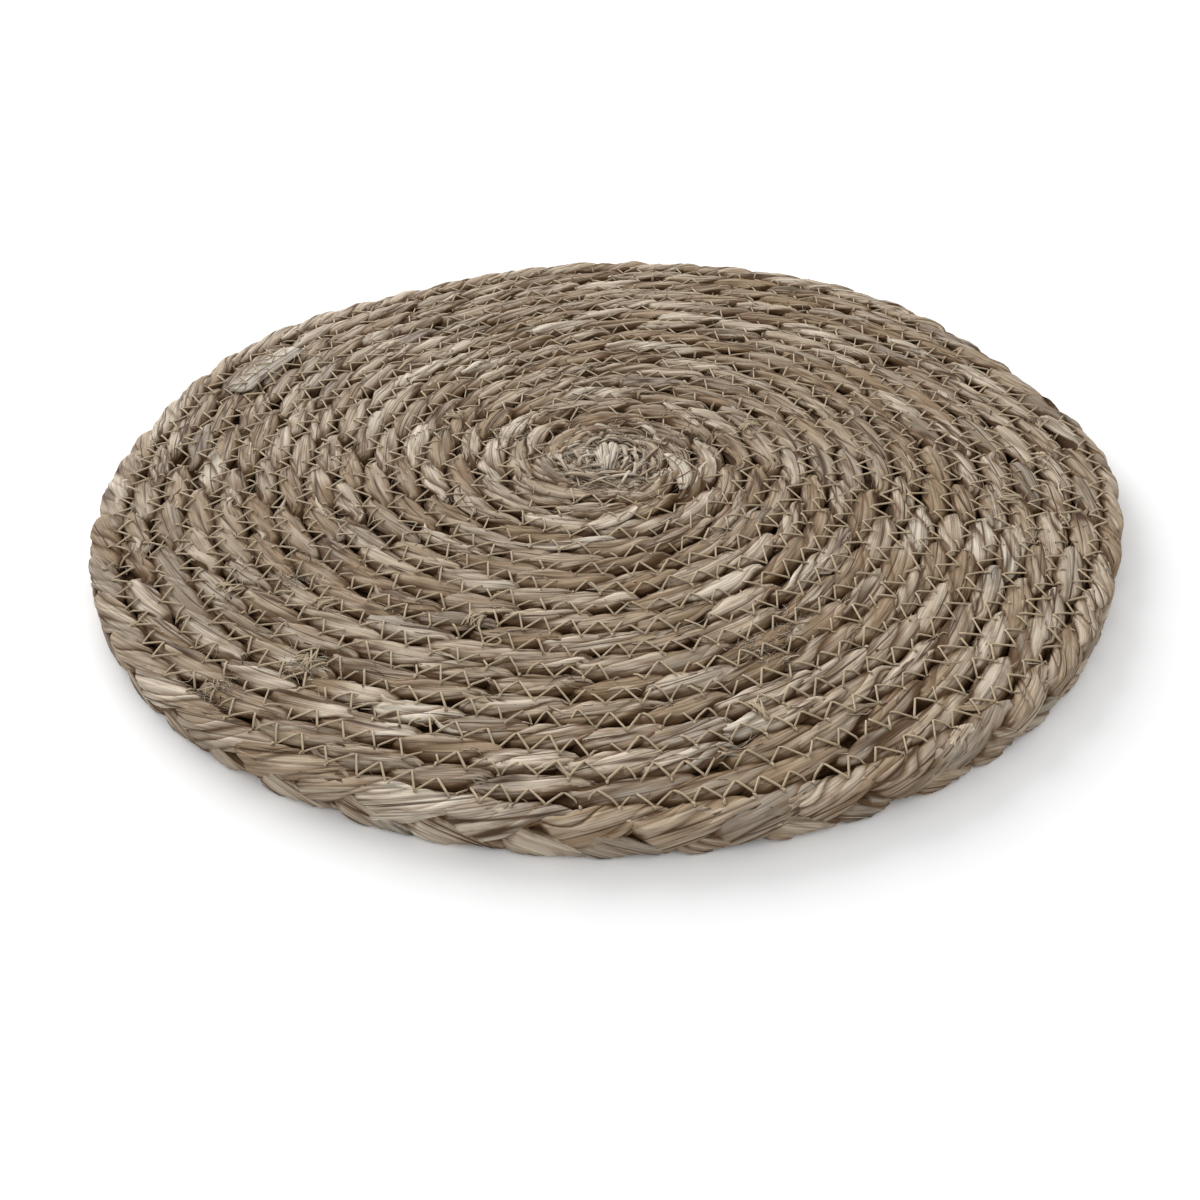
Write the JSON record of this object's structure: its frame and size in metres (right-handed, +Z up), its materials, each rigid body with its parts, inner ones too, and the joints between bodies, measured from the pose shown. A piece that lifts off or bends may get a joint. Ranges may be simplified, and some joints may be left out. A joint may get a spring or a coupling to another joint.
{
  "type": "round coiled-plait placemat",
  "caption": "Round placemat of three-strand plaited dried leaf, wound on edge in a flat spiral and sewn with a zigzag thread.",
  "frame": {"origin": "on the table, under the middle of the mat's box", "axes": "+Z up through the mat; +Y to the back; +X to the right, seen with the plait's outer end at the right, a little to the back"},
  "size_m": [0.378, 0.3782, 0.012],
  "materials": {
    "dried_leaf": "matte",
    "sewing_thread": "matte"
  },
  "bodies": {
    "root": {"coiled_plait_mat": "dried_leaf"}
  },
  "joints": []
}
